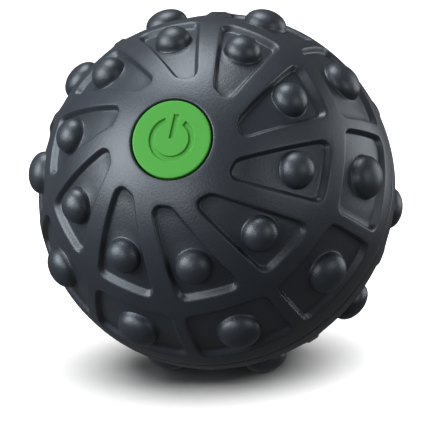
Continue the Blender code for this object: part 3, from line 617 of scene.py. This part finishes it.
def srgb(hex_value):
    """A colour written as 0xRRGGBB, as linear values."""
    return linear([(hex_value >> shift & 0xFF) / 255 for shift in (16, 8, 0)])


def per_mm(size_mm):
    """Texture scale for a pattern of this size, in Object coordinates in metres."""
    return 1.0 / (size_mm * MM)


def add_node(tree, kind, inputs, **settings):
    """Add a node with its settings, its socket values and its links."""
    node = tree.nodes.new(kind)
    for name, value in settings.items():
        setattr(node, name, value)
    for name, value in inputs.items():
        if isinstance(value, bpy.types.NodeSocket):
            tree.links.new(value, node.inputs[name])
        else:
            node.inputs[name].default_value = value
    return node


def finish(name, colour, roughness, metallic=0.0, grain_mm=0.5, grain_depth_mm=0.02, tint=0.12,
           roughness_swing=0.06, specular=0.5, coat=0.0):
    """A moulded or metal finish: fine grain as bump, slow changes of tone and of gloss."""
    made = bpy.data.materials.new(name)
    made.use_nodes = True
    tree = made.node_tree
    shader = tree.nodes["Principled BSDF"]
    place = add_node(tree, "ShaderNodeTexCoord", {}).outputs["Object"]
    grain = add_node(tree, "ShaderNodeTexNoise",
                     {"Vector": place, "Scale": per_mm(grain_mm), "Detail": GRAIN_DETAIL})
    patches = add_node(tree, "ShaderNodeTexNoise",
                       {"Vector": place, "Scale": per_mm(PATCH_MM), "Detail": PATCH_DETAIL})
    tones = add_node(tree, "ShaderNodeValToRGB", {"Fac": patches.outputs["Fac"]})
    for element, factor in zip(tones.color_ramp.elements, (1.0 - tint, 1.0 + tint)):
        element.color = tuple(c * factor for c in colour[:3]) + (1.0,)
    gloss = add_node(tree, "ShaderNodeMapRange",
                     {"Value": patches.outputs["Fac"],
                      "From Min": PATCH_RANGE[0], "From Max": PATCH_RANGE[1],
                      "To Min": roughness - roughness_swing / 2,
                      "To Max": roughness + roughness_swing / 2})
    bump = add_node(tree, "ShaderNodeBump", {"Height": grain.outputs["Fac"], "Strength": BUMP_STRENGTH,
                                             "Distance": grain_depth_mm * MM})
    tree.links.new(tones.outputs["Color"], shader.inputs["Base Color"])
    tree.links.new(gloss.outputs["Result"], shader.inputs["Roughness"])
    tree.links.new(bump.outputs["Normal"], shader.inputs["Normal"])
    shader.inputs["Metallic"].default_value = metallic
    shader.inputs["Specular IOR Level"].default_value = specular
    shader.inputs["Coat Weight"].default_value = coat
    return made


def make_finishes(colours):
    """Every finish of the ball, by the record's slot."""
    return {
        # Soft-touch thermoplastic rubber, moulded against a blasted tool: satin, with a fine grain
        # that is drawn coarser and deeper than it is, so that it shows.
        "cover_rubber": finish("soft_touch_rubber", linear(colours.cover), 0.43,
                               grain_mm=0.55, grain_depth_mm=0.09),
        # Dyed ABS from a satin tool: one even colour with a soft highlight.
        "button_green": finish("green_abs", linear(colours.button), 0.5,
                               grain_mm=0.8, grain_depth_mm=0.006, tint=0.03, specular=0.2),
        # Plain ABS from an as-milled tool: matt, with slow changes of gloss.
        "core_plastic": finish("charcoal_abs", linear(colours.core), 0.5,
                               grain_mm=0.6, grain_depth_mm=0.02),
        # Glass-filled nylon: slightly cloudy and coarser grained.
        "tray_plastic": finish("grey_nylon", linear(colours.tray), 0.55,
                               grain_mm=0.7, grain_depth_mm=0.03),
        # Unfilled nylon: dark, with a dull sheen.
        "switch_plastic": finish("black_nylon", srgb(0x1C1C1E), 0.45, grain_mm=0.6),
        # Nitrile rubber: dull and dark.
        "seal_rubber": finish("nitrile_rubber", srgb(0x141415), 0.65,
                              grain_mm=0.5, grain_depth_mm=0.02),
        # Shrunk film over steel: thin gloss over a grey ground.
        "cell_sleeve": finish("shrink_film", srgb(0x6E747C), 0.3, 0.2,
                              grain_mm=3.0, grain_depth_mm=0.02, coat=0.4),
        # Nickel-plated spring steel: bright, with a faint fine grain.
        "contact_metal": finish("nickel_plate", srgb(0xC9C5BB), 0.28, 1.0,
                                grain_mm=0.3, grain_depth_mm=0.008, tint=0.05),
        # Zinc-plated steel sheet: paler and a little duller than nickel.
        "bright_steel": finish("zinc_plated_steel", srgb(0xBFC2C6), 0.34, 1.0,
                               grain_mm=0.5, grain_depth_mm=0.012, tint=0.06),
        # Turned brass: warm and bright, with a faint fine grain.
        "weight_brass": finish("turned_brass", srgb(0xB9964A), 0.33, 1.0,
                               grain_mm=0.4, grain_depth_mm=0.01, tint=0.06),
        # Epoxy glass laminate under solder mask: green, with a thin clear gloss.
        "board_laminate": finish("epoxy_laminate", srgb(0x1F5B36), 0.4,
                                 grain_mm=0.9, grain_depth_mm=0.012, coat=0.3),
        # Silicone insulation: soft satin, with slow changes of tone.
        "lead_red": finish("red_silicone_lead", srgb(0xA52222), 0.5,
                           grain_mm=1.2, grain_depth_mm=0.01),
        "lead_black": finish("black_silicone_lead", srgb(0x1A1A1C), 0.5,
                             grain_mm=1.2, grain_depth_mm=0.01),
    }


FINISHES = {}


def finish_of(slot):
    """The finish of a slot, made on first use."""
    if slot not in FINISHES:
        FINISHES.update(make_finishes(bpy.context.scene.ball_colours))
    return FINISHES[slot]


# ---- Operators ----
class BALL_OT_stage(Operator):
    """Make the floor, the soft lights and the camera"""
    bl_idname = "ball.stage"
    bl_label = "Stage"

    def execute(self, context):
        scene = context.scene
        scene.view_settings.view_transform = "Standard"
        turn = camera_turn()
        centre = ball_matrix().translation
        self.add_camera(scene, turn, centre)
        self.add_floor(scene)
        for name, towards, distance, size, watts in SOFTBOXES:
            place = centre + turn @ Vector(towards).normalized() * distance
            light = self.add_light(scene, name, place, centre, size, watts, SOFTBOX_TINT)
            self.light_floor(light, "EXCLUDE")
        above = turn @ Vector((WASH_TO_RIGHT, 0, 0)) + Vector((0, 0, WASH_HEIGHT))
        origin = Vector((0, 0, 0))
        wash = self.add_light(scene, "floor_wash", above, origin, WASH_SIZE, WASH_WATTS, WASH_TINT)
        self.light_floor(wash, "INCLUDE")
        self.add_world(scene)
        return {"FINISHED"}

    def add_camera(self, scene, turn, centre):
        """Aim a long lens at the ball, with the picture shifted to leave room for the shadow."""
        data = bpy.data.cameras.new("camera")
        data.lens = CAMERA_LENS
        data.sensor_width = CAMERA_SENSOR
        data.shift_x, data.shift_y = CAMERA_SHIFT
        data.clip_start = CAMERA_CLIP
        camera = bpy.data.objects.new("camera", data)
        place = Matrix.Translation(centre + turn @ Vector((0, 0, CAMERA_DISTANCE)))
        camera.matrix_world = place @ turn.to_4x4()
        scene.collection.objects.link(camera)
        scene.camera = camera

    def add_floor(self, scene):
        """A white board that takes the shadow, but sends the ball no light and no reflection."""
        bm = bmesh.new()
        bmesh.ops.create_grid(bm, x_segments=1, y_segments=1, size=FLOOR_REACH)
        mesh = bpy.data.meshes.new("floor")
        bm.to_mesh(mesh)
        bm.free()
        # Matt white paint on board: one even tone, with hardly any gloss.
        mesh.materials.append(finish("white_painted_board", srgb(0xF4F4F4), 0.8, grain_mm=2.0, tint=0.0))
        floor = bpy.data.objects.new("floor", mesh)
        scene.collection.objects.link(floor)
        floor.visible_diffuse = False
        floor.visible_glossy = False

    def add_light(self, scene, name, place, aim, size, watts, tint):
        """A square area light at a place, turned to face the aim."""
        data = bpy.data.lights.new(name, "AREA")
        data.size = size
        data.energy = watts
        data.color = tint
        light = bpy.data.objects.new(name, data)
        light.location = place
        light.rotation_euler = (aim - place).to_track_quat("-Z", "Y").to_euler()
        scene.collection.objects.link(light)
        return light

    def light_floor(self, light, state):
        """Let a light reach only the floor, or everything but the floor."""
        receivers = bpy.data.collections.new(light.name + "_receivers")
        receivers.objects.link(bpy.data.objects["floor"])
        receivers.collection_objects[0].light_linking.link_state = state
        light.light_linking.receiver_collection = receivers

    def add_world(self, scene):
        """Plain white, dim as a light on the ball and bright as the backdrop."""
        world = bpy.data.worlds.new("studio")
        world.use_nodes = True
        tree = world.node_tree
        background = tree.nodes["Background"]
        background.inputs["Color"].default_value = srgb(0xFFFFFF)
        ray = add_node(tree, "ShaderNodeLightPath", {})
        level = add_node(tree, "ShaderNodeMapRange", {"Value": ray.outputs["Is Camera Ray"],
                                                      "To Min": AMBIENT, "To Max": BACKDROP})
        tree.links.new(level.outputs["Result"], background.inputs["Strength"])
        scene.world = world


class BALL_OT_covers(Operator):
    """Make the two knobbed covers"""
    bl_idname = "ball.covers"
    bl_label = "Knobbed covers"

    def execute(self, context):
        sizes = context.scene.ball_sizes
        rubber = finish_of("cover_rubber")
        piece_from(cover_bm(sizes), "upper_cover_skin", "upper_half",
                   ["upper_cover"], rubber)
        piece_from(cover_bm(sizes), "lower_cover_skin", "lower_half",
                   ["lower_cover"], rubber, lower=True)
        return {"FINISHED"}


class BALL_OT_poles(Operator):
    """Make the green push button and the plain cap at the lower pole"""
    bl_idname = "ball.poles"
    bl_label = "Button and cap"

    def execute(self, context):
        sizes = context.scene.ball_sizes
        piece_from(button_bm(sizes), "push_button", "button",
                   ["button_cap"], finish_of("button_green"))
        piece_from(bottom_cap_bm(sizes), "lower_pole_cap", "lower_half",
                   ["bottom_cap"], finish_of("core_plastic"), lower=True)
        return {"FINISHED"}


class BALL_OT_socket(Operator):
    """Make the lower half's rigid shell and the ring seal"""
    bl_idname = "ball.socket"
    bl_label = "Socket and seal"

    def execute(self, context):
        piece_from(lower_core_bm(), "lower_socket_shell", "lower_half",
                   ["lower_core"], finish_of("core_plastic"), lower=True)
        piece_from(seal_bm(), "ring_seal", "seal",
                   ["parting_seal"], finish_of("seal_rubber"))
        return {"FINISHED"}


class BALL_OT_finishes(Operator):
    """Give every CAD piece that stays its finish"""
    bl_idname = "ball.finishes"
    bl_label = "Finishes"

    def execute(self, context):
        slots = {part["node"]: part["material_slot"] for part in frame["record"]["subparts"]}
        for name, node in frame["nodes"].items():
            node.data.materials.clear()
            node.data.materials.append(finish_of(slots[name]))
        return {"FINISHED"}


class BALL_PT_panel(Panel):
    """Lists the ball's operators"""
    bl_idname = "BALL_PT_panel"
    bl_label = "Massage ball"
    bl_space_type = "VIEW_3D"
    bl_region_type = "UI"
    bl_category = "Massage ball"

    def draw(self, context):
        for operator in OPERATORS:
            self.layout.operator(operator.bl_idname)


OPERATORS = (BALL_OT_stage, BALL_OT_covers, BALL_OT_poles, BALL_OT_socket, BALL_OT_finishes)
CLASSES = (BallSizes, BallColours, *OPERATORS, BALL_PT_panel)


def register():
    for cls in CLASSES:
        bpy.utils.register_class(cls)
    bpy.types.Scene.ball_sizes = PointerProperty(type=BallSizes)
    bpy.types.Scene.ball_colours = PointerProperty(type=BallColours)


def unregister():
    del bpy.types.Scene.ball_colours
    del bpy.types.Scene.ball_sizes
    for cls in reversed(CLASSES):
        bpy.utils.unregister_class(cls)


def main():
    register()
    bpy.ops.ball.stage()
    bpy.ops.ball.covers()
    bpy.ops.ball.poles()
    bpy.ops.ball.socket()
    bpy.ops.ball.finishes()


if __name__ == "__main__":
    main()
